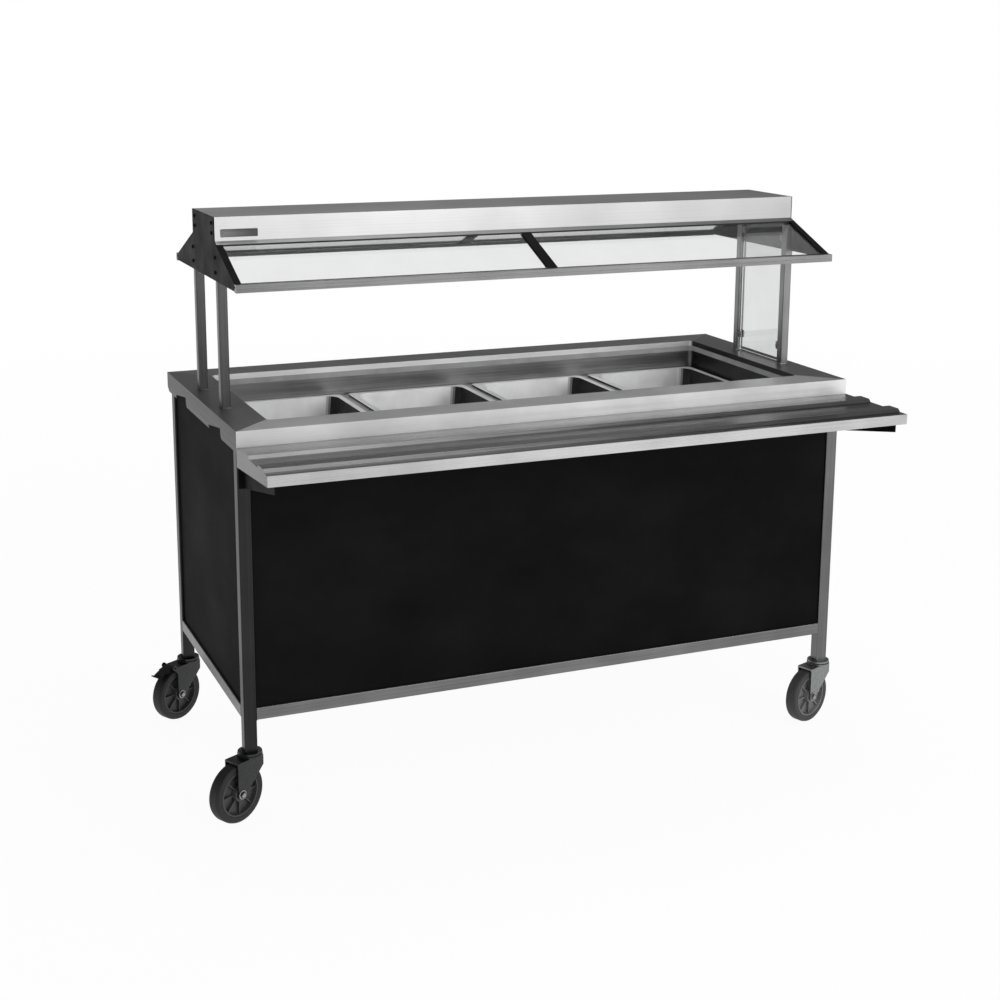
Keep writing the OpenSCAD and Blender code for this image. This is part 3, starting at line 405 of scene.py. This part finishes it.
def selectEdges(piece, test):
    mesh = bmesh.from_edit_mesh(piece.data)
    for vertex in mesh.verts:
        vertex.select_set(False)
    for edge in mesh.edges:
        edge.select_set(bool(test(edge.verts[0].co, edge.verts[1].co)))
    bmesh.update_edit_mesh(piece.data)


def facing(x, y, z):
    return lambda centre, normal: normal.dot(Vector((x, y, z))) > 0.9


def bothEnds(centre, normal):
    return abs(normal.z) > 0.9


# edges that run along X, Y or Z, given as 0, 1 or 2
def running(axis):
    return lambda a, b: abs(a[axis] - b[axis]) > 0.0005


def bevelPiece(piece, select, test, offset, segments=2):
    bpy.ops.object.mode_set(mode="EDIT")
    select(piece, test)
    bpy.ops.mesh.bevel(offset=offset, segments=segments)
    bpy.ops.object.mode_set(mode="OBJECT")


def applyPlace():
    bpy.ops.object.transform_apply(location=True, rotation=True, scale=True)


def newBlock(size, place=(0, 0, 0)):
    bpy.ops.object.select_all(action="DESELECT")
    bpy.ops.mesh.primitive_cube_add(size=1, scale=size, location=place)
    applyPlace()
    return bpy.context.active_object


def newDisc(radius, depth, place=(0, 0, 0), sides=32, turn=(0, 0, 0)):
    bpy.ops.object.select_all(action="DESELECT")
    bpy.ops.mesh.primitive_cylinder_add(vertices=sides, radius=radius, depth=depth, location=place,
                                        rotation=[math.radians(angle) for angle in turn])
    applyPlace()
    return bpy.context.active_object


# the piece gets its place, name, finish and the body that it rides
def settle(piece, name, finish, body):
    bpy.ops.object.select_all(action="DESELECT")
    piece.select_set(True)
    bpy.context.view_layer.objects.active = piece
    applyPlace()
    bpy.ops.object.shade_smooth_by_angle(angle=math.radians(35))
    piece.name = name
    piece.data.name = name
    piece.data.materials.clear()
    piece.data.materials.append(finishes[finish])
    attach(piece, body)


def copyOf(piece, place=(0, 0, 0), turn=(0, 0, 0)):
    copied = piece.copy()
    copied.data = piece.data.copy()
    bpy.context.scene.collection.objects.link(copied)
    copied.location = place
    copied.rotation_euler = [math.radians(angle) for angle in turn]
    return copied


def joined(pieces):
    bpy.ops.object.select_all(action="DESELECT")
    for piece in pieces:
        piece.select_set(True)
    bpy.context.view_layer.objects.active = pieces[0]
    bpy.ops.object.join()
    return bpy.context.active_object


# copies of one model, each with a body, a place and a turn in degrees
def spreadOut(model, name, places, finish):
    for number, (body, place, turn) in enumerate(places, 1):
        settle(copyOf(model, place, turn), name + str(number), finish, body)
    bpy.data.objects.remove(model)


# blank plate on the overshelf's front face

plate = {"size": (0.086, 0.0016, 0.018), "fromLeft": 0.05637, "fromTop": 0.037, "corner": 0.002,
         "border": 0.0012, "sunk": 0.0005, "rivet": 0.0016, "rivetHigh": 0.0010, "rivetIn": 0.005,
         "rivetRound": 0.0005}


def makePlate():
    wide, thick, _ = plate["size"]
    block = newBlock(plate["size"])
    bevelPiece(block, selectEdges, running(1), plate["corner"], 3)
    bpy.ops.object.mode_set(mode="EDIT")
    selectFaces(block, facing(0, -1, 0))
    bpy.ops.mesh.inset(thickness=plate["border"])
    bpy.ops.transform.translate(value=(0, plate["sunk"], 0))
    bpy.ops.object.mode_set(mode="OBJECT")
    parts = [block]
    for side in (-1, 1):
        place = (side * (wide / 2 - plate["rivetIn"]), -plate["rivetHigh"], 0)
        rivet = newDisc(plate["rivet"], plate["rivetHigh"], place, 16, (90, 0, 0))
        bevelPiece(rivet, selectFaces, facing(0, -1, 0), plate["rivetRound"])
        parts.append(rivet)
    shelfLow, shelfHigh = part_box("canopy")
    whole = joined(parts)
    whole.location = (shelfLow.x + plate["fromLeft"], middle.y - overshelf["halfWide"] - thick / 2,
                      shelfHigh.z - plate["fromTop"])
    settle(whole, "blankPlate", "plateSteel", "counter")


makePlate()
print("blank plate made")


# round-head screws in the end panels, the pane's clips and the slide's brackets

screw = {"head": 0.0045, "high": 0.0026, "round": 0.0012, "socket": 0.0021, "deep": 0.0013}
panelScrew = {"wingAside": 0.112, "wingUp": (0.019, 0.053), "headAside": 0.085, "headDown": (0.038, 0.015)}
clipScrew = {"fromSide": 0.006, "fromEnd": 0.010}
bracketScrew = {"plate": 0.012, "aside": 0.007, "first": 0.030, "every": 0.065, "count": 3, "flange": 0.003}
toLeft, toRight, downwards = (0, -90, 0), (0, 90, 0), (180, 0, 0)


def screwHead():
    head = newDisc(screw["head"], screw["high"], (0, 0, screw["high"] / 2), 24)
    bevelPiece(head, selectFaces, facing(0, 0, 1), screw["round"], 3)
    bpy.ops.object.mode_set(mode="EDIT")
    selectFaces(head, lambda centre, normal: normal.z > 0.99 and centre.z > screw["high"] * 0.95)
    bpy.ops.mesh.inset(thickness=screw["head"] - screw["round"] - screw["socket"])
    bpy.ops.mesh.extrude_region_move(TRANSFORM_OT_translate={"value": (0, 0, -screw["deep"])})
    bpy.ops.object.mode_set(mode="OBJECT")
    return head


def panelPlaces():
    (low, _), (_, high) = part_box("end_panel_left"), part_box("end_panel_right")
    rows = [(panelScrew["wingAside"], low.z + up) for up in panelScrew["wingUp"]]
    rows += [(panelScrew["headAside"], high.z - down) for down in panelScrew["headDown"]]
    return [("counter", (face, middle.y + side * aside, z), turn)
            for face, turn in ((low.x, toLeft), (high.x, toRight)) for aside, z in rows for side in (-1, 1)]


def clipPlaces():
    low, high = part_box("end_pane_clips")
    return [("counter", (face, y, z), turn) for face, turn in ((low.x, toLeft), (high.x, toRight))
            for z in (low.z + clipScrew["fromEnd"], high.z - clipScrew["fromEnd"])
            for y in (low.y + clipScrew["fromSide"], high.y - clipScrew["fromSide"])]


def bracketPlaces():
    low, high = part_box("slide_brackets")
    z = high.z - bracketScrew["flange"]
    first = low.y + bracketScrew["first"]
    rows = [first + step * bracketScrew["every"] for step in range(bracketScrew["count"])]
    return [("counter", (centre + side * bracketScrew["aside"], y, z), downwards)
            for centre in (low.x + bracketScrew["plate"], high.x - bracketScrew["plate"])
            for side in (-1, 1) for y in rows]


def makeScrews():
    head = screwHead()
    spreadOut(copyOf(head), "panelScrew", panelPlaces(), "blackEnamel")
    spreadOut(copyOf(head), "clipScrew", clipPlaces(), "clipSteel")
    spreadOut(head, "bracketScrew", bracketPlaces(), "blackEnamel")


makeScrews()
print("screws made")


# rubber beads on the panes, under the overshelf's lips and over the guard rails; "base" is measured
# square to the slope, and "along" down it from the overshelf's bottom edge

bead = {"wide": 0.0040, "thick": 0.0020, "round": 0.0009, "base": -0.0023, "clear": 0.0005,
        "along": {"lipBead": 0.0164, "railBead": 0.1905}}


def makeBeads():
    lean = math.radians(overshelf["angle"])
    dividerHigh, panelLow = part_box("guard_dividers")[1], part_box("end_panel_right")[0]
    start = dividerHigh.x - middle.x + bead["clear"]
    end = panelLow.x - middle.x - bead["clear"]
    off = bead["base"] + bead["thick"] / 2
    for name, along in bead["along"].items():
        block = newBlock((end - start, bead["wide"], bead["thick"]))
        bevelPiece(block, selectEdges, lambda a, b: running(0)(a, b) and a.z > 0, bead["round"], 3)
        block.rotation_euler = (lean, 0, 0)
        block.location = ((start + end) / 2,
                          -(overshelf["halfWide"] + along * math.cos(lean) + off * math.sin(lean)),
                          overshelf["bottom"] - along * math.sin(lean) + off * math.cos(lean))
        applyPlace()
        places = [("counter", (middle.x + shift, middle.y, 0), (0, 0, turn))
                  for shift, turn in ((0, 0), (-start - end, 0), (0, 180), (start + end, 180))]
        spreadOut(block, name, places, "sealRubber")


makeBeads()
print("glazing beads made")


# weld beads round the posts' feet and under the bottom rails' ends

weld = {"foot": 0.0018, "high": 0.0024, "round": 0.0013, "corner": 0.0010,
        "rod": 0.0022, "rodLong": 0.026, "rodRound": 0.0012}


def makePostWelds():
    low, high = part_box("post_front_left")
    wide = high.x - low.x + 2 * weld["foot"]
    ring = newBlock((wide, wide, weld["high"]), (0, 0, weld["high"] / 2))
    bevelPiece(ring, selectFaces, facing(0, 0, 1), weld["round"])
    bevelPiece(ring, selectEdges, running(2), weld["corner"])
    feet = []
    for corner in corners:
        low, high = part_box("post_" + corner)
        foot = (low + high) / 2
        feet.append(("counter", (foot.x, foot.y, low.z), (0, 0, 0)))
    spreadOut(ring, "postWeld", feet, "postSteel")


def makeRailWelds():
    rod = newDisc(weld["rod"], weld["rodLong"], sides=12)
    bevelPiece(rod, selectFaces, bothEnds, weld["rodRound"])
    joints = []
    for side in ("front", "back"):
        low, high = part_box("bottom_rail_" + side)
        joints += [("counter", (end.x, (low.y + high.y) / 2, low.z), (90, 0, 0)) for end in (low, high)]
    for side in ("left", "right"):
        low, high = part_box("bottom_rail_" + side)
        joints += [("counter", ((low.x + high.x) / 2, end.y, low.z), (0, 90, 0)) for end in (low, high)]
    spreadOut(rod, "railWeld", joints, "legSteel")


makePostWelds()
makeRailWelds()
print("welds made")


# casters: washers and caps on the axles, swivel seals, hub ribs and pedal pads; each is modelled on a
# caster that trails to the left, with the swivel's axis at the origin

fork = {"halfWide": 0.022, "headHigh": 0.004, "sunk": 0.0002}
washer = {"radius": 0.0108, "thick": 0.0014, "round": 0.0005}
axleCap = {"radius": 0.0062, "high": 0.0036, "round": 0.0030}
seal = {"radius": 0.0289, "thick": 0.0014, "round": 0.0005, "gap": 0.0003}
hubRib = {"count": 8, "size": (0.032, 0.0075, 0.0026), "out": 0.033, "aside": 0.0072, "round": 0.0007}
pedalPad = {"size": (0.022, 0.024, 0.0022), "round": 0.0007, "place": (-0.0940, 0, 0.1382), "tilt": -25.4,
            "ridges": 4, "ridge": (0.0018, 0.020, 0.0012), "ridgeRound": 0.0004, "every": 0.0048,
            "sunk": 0.0002}


# a caster's swivel axis and the middle of its wheel, at rest
def casterAt(corner):
    legLow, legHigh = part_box("leg_" + corner)
    tyreLow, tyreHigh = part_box("tyre_" + corner)
    return (legLow + legHigh) / 2, (tyreLow + tyreHigh) / 2


def casterPlaces(kind, chosen=corners):
    places = []
    for corner in chosen:
        pin, wheel = casterAt(corner)
        turn = math.degrees(math.atan2(pin.y - wheel.y, pin.x - wheel.x))
        places.append((kind + "_" + corner, (pin.x, pin.y, 0), (0, 0, turn)))
    return places


firstPin, firstWheel = casterAt("front_left")
axle = Vector((-(firstPin.xy - firstWheel.xy).length, 0, firstWheel.z))


def onAxle(radius, depth, centre, sides, soften, segments=2):
    disc = newDisc(radius, depth, (axle.x, centre, axle.z), sides, (90, 0, 0))
    bevelPiece(disc, selectFaces, facing(0, math.copysign(1, centre), 0), soften, segments)
    return disc


def makeAxleFittings():
    washerAt = fork["halfWide"] + washer["thick"] / 2
    capAt = fork["halfWide"] + fork["headHigh"] + axleCap["high"] / 2 - fork["sunk"]
    parts = []
    for side in (-1, 1):
        parts.append(onAxle(washer["radius"], washer["thick"], side * washerAt, 32, washer["round"]))
        parts.append(onAxle(axleCap["radius"], axleCap["high"], side * capAt, 24, axleCap["round"], 4))
    spreadOut(joined(parts), "axleFittings", casterPlaces("swivel"), "capZinc")


def makeSwivelSeals():
    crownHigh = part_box("fork_front_left")[1].z
    ring = newDisc(seal["radius"], seal["thick"], (0, 0, crownHigh + seal["gap"] / 2), 48)
    bevelPiece(ring, selectFaces, bothEnds, seal["round"])
    spreadOut(ring, "swivelSeal", casterPlaces("swivel"), "sealRubber")


def makeHubRibs():
    ribs = []
    for number in range(hubRib["count"]):
        for side in (-1, 1):
            rib = newBlock(hubRib["size"], (hubRib["out"], side * hubRib["aside"], 0))
            bevelPiece(rib, selectFaces, facing(0, side, 0), hubRib["round"])
            rib.rotation_euler = (0, math.radians(number * 360 / hubRib["count"]), 0)
            applyPlace()
            ribs.append(rib)
    wheelRibs = joined(ribs)
    wheelRibs.location = axle
    applyPlace()
    spreadOut(wheelRibs, "hubRibs", casterPlaces("wheel"), "hubNylon")


def makePedalPads():
    thick = pedalPad["size"][2]
    pad = newBlock(pedalPad["size"], (0, 0, thick / 2))
    bevelPiece(pad, selectFaces, facing(0, 0, 1), pedalPad["round"])
    parts = [pad]
    ridgeHigh = thick + pedalPad["ridge"][2] / 2 - pedalPad["sunk"]
    for step in range(pedalPad["ridges"]):
        along = (step - (pedalPad["ridges"] - 1) / 2) * pedalPad["every"]
        ridge = newBlock(pedalPad["ridge"], (along, 0, ridgeHigh))
        bevelPiece(ridge, selectFaces, facing(0, 0, 1), pedalPad["ridgeRound"])
        parts.append(ridge)
    whole = joined(parts)
    whole.rotation_euler = (0, math.radians(pedalPad["tilt"]), 0)
    whole.location = pedalPad["place"]
    applyPlace()
    places = casterPlaces("pedal", ("back_left", "back_right"))
    spreadOut(whole, "pedalPad", places, "sealRubber")


makeAxleFittings()
makeSwivelSeals()
makeHubRibs()
makePedalPads()
print("caster fittings made")


# drain: thread on the tail and the lever's nut

tail = {"ring": 0.0166, "thick": 0.0011, "round": 0.0004, "first": 0.0015, "every": 0.0020, "count": 10}
leverNut = {"radius": 0.0065, "high": 0.0045, "round": 0.0008}


def makeDrainFittings():
    outletLow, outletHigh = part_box("drain_outlet")
    valveLow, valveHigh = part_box("drain_valve_body")
    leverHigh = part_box("drain_valve_handle")[1]
    centre = (outletLow + outletHigh) / 2
    rings = []
    for number in range(tail["count"]):
        z = valveHigh.z + tail["first"] + number * tail["every"]
        ring = newDisc(tail["ring"], tail["thick"], (centre.x, centre.y, z))
        bevelPiece(ring, selectFaces, bothEnds, tail["round"], 1)
        rings.append(ring)
    settle(joined(rings), "tailThread", "steelAlongY", "counter")
    nut = newDisc(leverNut["radius"], leverNut["high"], (0, 0, leverNut["high"] / 2), 6)
    bevelPiece(nut, selectFaces, facing(0, 0, 1), leverNut["round"])
    nut.rotation_euler = (math.radians(-90), 0, 0)
    nut.location = (centre.x, leverHigh.y, (valveLow.z + valveHigh.z) / 2)
    settle(nut, "leverNut", "zincPlate", "valve_handle")


makeDrainFittings()
print("drain fittings made")


# camera, at the photograph's place

view = {"place": (-1.5857, -3.6831, 1.7479), "turn": (77.777, -0.319, -22.850), "lens": 59.945, "shift": -0.1}

bpy.ops.object.select_all(action="DESELECT")
camera = bpy.data.objects.new("counterCamera", bpy.data.cameras.new("counterCamera"))
bpy.context.scene.collection.objects.link(camera)
camera.location = view["place"]
camera.rotation_euler = [math.radians(angle) for angle in view["turn"]]
camera.data.sensor_width = 36
camera.data.lens = view["lens"]
camera.data.shift_y = view["shift"]
camera.data.clip_end = 200
bpy.context.scene.camera = camera


# floor, white sky and soft lamps; the floor's glow and the sky are seen by the camera, through glass
# and in shiny faces, where the sky fades from "shine" at the horizon to its second value higher up

studio = {"floorSize": 60, "floorTone": 0.86, "floorGlow": (0.945, 1.0), "glowFade": (2.2, 6.5),
          "skyLight": 0.62, "shine": (1.0, 0.17), "shineFade": (0.0, 0.14)}
lamps = {
    "frontLamp": {"place": (2.0, -4.4, 2.3), "aim": (0, 0, 0.9), "size": (4.0, 3.0), "power": 98},
    "overheadLamp": {"place": (0.4, 0.2, 4.6), "aim": (0, 0, 0.8), "size": (3.2, 2.2), "power": 54},
}


def paleFloor():
    finish, tree, shader = newFinish("paleFloor")
    shader.inputs["Base Color"].default_value = (*grey(studio["floorTone"]), 1)
    shader.inputs["Roughness"].default_value = 0.9
    shader.inputs["Specular IOR Level"].default_value = 0.0
    place = addNode(tree, "ShaderNodeTexCoord")
    flat = addNode(tree, "ShaderNodeVectorMath", operation="MULTIPLY")
    flat.inputs[1].default_value = (1, 1, 0)
    length = addNode(tree, "ShaderNodeVectorMath", operation="LENGTH")
    tree.links.new(place.outputs["Object"], flat.inputs[0])
    tree.links.new(flat.outputs["Vector"], length.inputs[0])
    glow = spread(tree, length.outputs["Value"], *studio["floorGlow"], *studio["glowFade"])
    rays = addNode(tree, "ShaderNodeLightPath").outputs
    seen = calculated(tree, "MAXIMUM", rays["Is Camera Ray"], rays["Is Glossy Ray"])
    seen = calculated(tree, "MAXIMUM", seen, rays["Is Transmission Ray"])
    white = addNode(tree, "ShaderNodeEmission", {"Color": (1, 1, 1, 1), "Strength": 1.0})
    mix = addNode(tree, "ShaderNodeMixShader")
    tree.links.new(calculated(tree, "MULTIPLY", seen, glow), mix.inputs["Fac"])
    tree.links.new(shader.outputs["BSDF"], mix.inputs[1])
    tree.links.new(white.outputs["Emission"], mix.inputs[2])
    wearSurface(tree, mix.outputs["Shader"])
    return finish


def layFloor():
    bpy.ops.object.select_all(action="DESELECT")
    bpy.ops.mesh.primitive_plane_add(size=studio["floorSize"], location=(0, 0, 0))
    floor = bpy.context.active_object
    floor.name = "studioFloor"
    floor.data.materials.append(paleFloor())


def whiteSky():
    world = bpy.data.worlds.new("whiteSky")
    bpy.context.scene.world = world
    world.use_nodes = True
    tree = world.node_tree
    tree.nodes.clear()
    rays = addNode(tree, "ShaderNodeLightPath").outputs
    place = addNode(tree, "ShaderNodeTexCoord")
    height = splitVector(tree, place.outputs["Generated"])["Z"]
    ceiling = spread(tree, height, *studio["shine"], *studio["shineFade"])
    shone = calculated(tree, "MULTIPLY", rays["Is Glossy Ray"], ceiling)
    seen = calculated(tree, "MAXIMUM", rays["Is Camera Ray"], rays["Is Transmission Ray"])
    dim = calculated(tree, "MULTIPLY", rays["Is Diffuse Ray"], studio["skyLight"])
    strength = calculated(tree, "MAXIMUM", calculated(tree, "MAXIMUM", seen, shone), dim)
    back = addNode(tree, "ShaderNodeBackground", {"Color": (1, 1, 1, 1)})
    out = addNode(tree, "ShaderNodeOutputWorld")
    tree.links.new(strength, back.inputs["Strength"])
    tree.links.new(back.outputs["Background"], out.inputs["Surface"])


def softLamp(name, place, aim, size, power):
    bpy.ops.object.light_add(type="AREA", location=place)
    lamp = bpy.context.active_object
    lamp.name = name
    lamp.data.shape = "RECTANGLE"
    lamp.data.size, lamp.data.size_y = size
    lamp.data.energy = power
    lamp.rotation_euler = (Vector(aim) - Vector(place)).to_track_quat("-Z", "Y").to_euler()


layFloor()
whiteSky()
for lampName, lampValues in lamps.items():
    softLamp(lampName, **lampValues)
print("camera, floor and lamps placed")


# finish

bpy.context.scene.view_settings.view_transform = "Standard"
